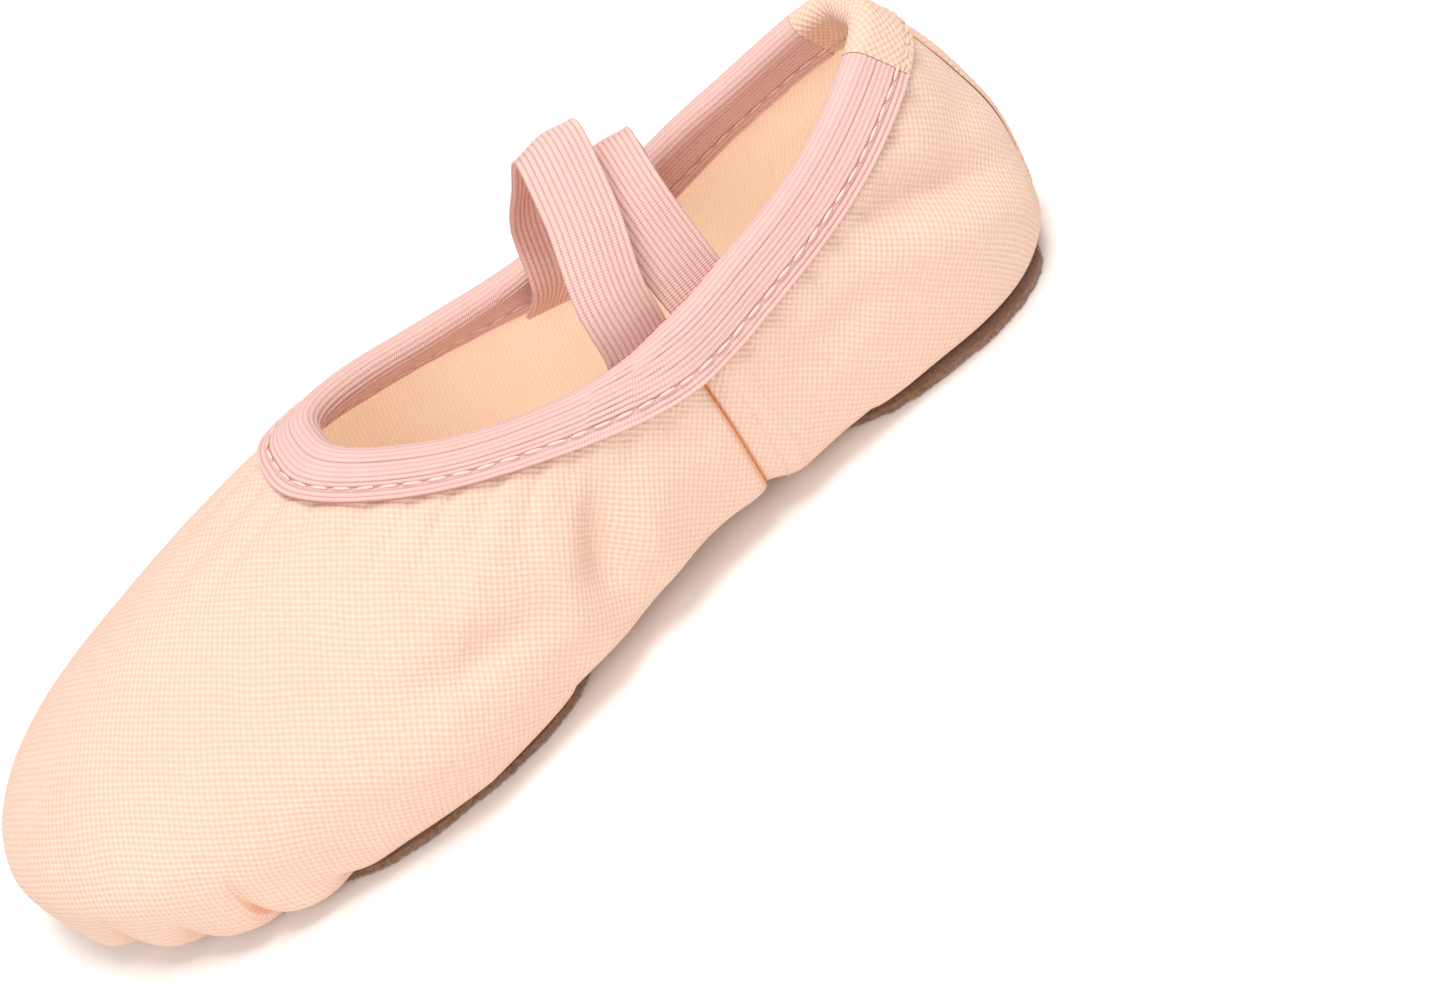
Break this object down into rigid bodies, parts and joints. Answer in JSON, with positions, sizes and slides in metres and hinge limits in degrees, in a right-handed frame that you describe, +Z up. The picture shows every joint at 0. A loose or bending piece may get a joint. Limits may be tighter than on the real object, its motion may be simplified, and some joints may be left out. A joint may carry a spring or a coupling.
{
  "type": "ballet slipper",
  "caption": "Soft canvas ballet slipper with a split suede sole, an elastic-bound topline and two elastic instep straps.",
  "frame": {"origin": "on the floor, below the middle of the slipper's bounding box", "axes": "+X points to the toe, +Y to the wearer's left (the outer side of this left slipper), +Z up"},
  "size_m": [0.241, 0.0913, 0.078],
  "materials": {
    "canvas": "matte woven cotton canvas, pale peach",
    "lining": "matte fine twill, pale peach",
    "elastic": "ribbed knitted elastic, salmon pink",
    "suede": "rough split suede, brown",
    "pad_cloth": "matte cloth over thin foam, off-white"
  },
  "bodies": {
    "forefoot": {"vamp_canvas": "canvas", "vamp_lining": "lining", "topline_elastic": "elastic", "forefoot_outsole": "suede", "forefoot_pad": "pad_cloth"},
    "heel": {"quarter_canvas_outer": "canvas", "quarter_canvas_inner": "canvas", "quarter_lining_outer": "lining", "quarter_lining_inner": "lining", "heel_seam_tape": "canvas", "heel_collar_binding": "canvas", "heel_outsole": "suede", "heel_pad": "pad_cloth"},
    "over_strap": {"strap_over": "elastic"},
    "under_strap": {"strap_under": "elastic"}
  },
  "joints": [
    {"name": "arch_flex", "type": "hinge", "parent": "forefoot", "child": "heel", "pos_m": [-0.031, 0, 0.006], "axis": [0, 1, 0], "range_deg": [0, 24], "deforming": ["topline_elastic", "vamp_lining"]},
    {"name": "strap_over_swing", "type": "hinge", "parent": "forefoot", "child": "over_strap", "pos_m": [-0.03232, 0.00203, 0.03631], "axis": [0.0156, 0.9999, -0.0032], "range_deg": [-10, 12], "stiffness_Nm_per_rad": 0.02},
    {"name": "strap_under_swing", "type": "hinge", "parent": "forefoot", "child": "under_strap", "pos_m": [-0.04846, 0.0019, 0.03924], "axis": [0.0593, 0.9982, -0.0043], "range_deg": [-10, 12], "stiffness_Nm_per_rad": 0.02}
  ],
  "couplings": [
    {"joint": "strap_under_swing", "follows": "strap_over_swing", "ratio": 1}
  ]
}
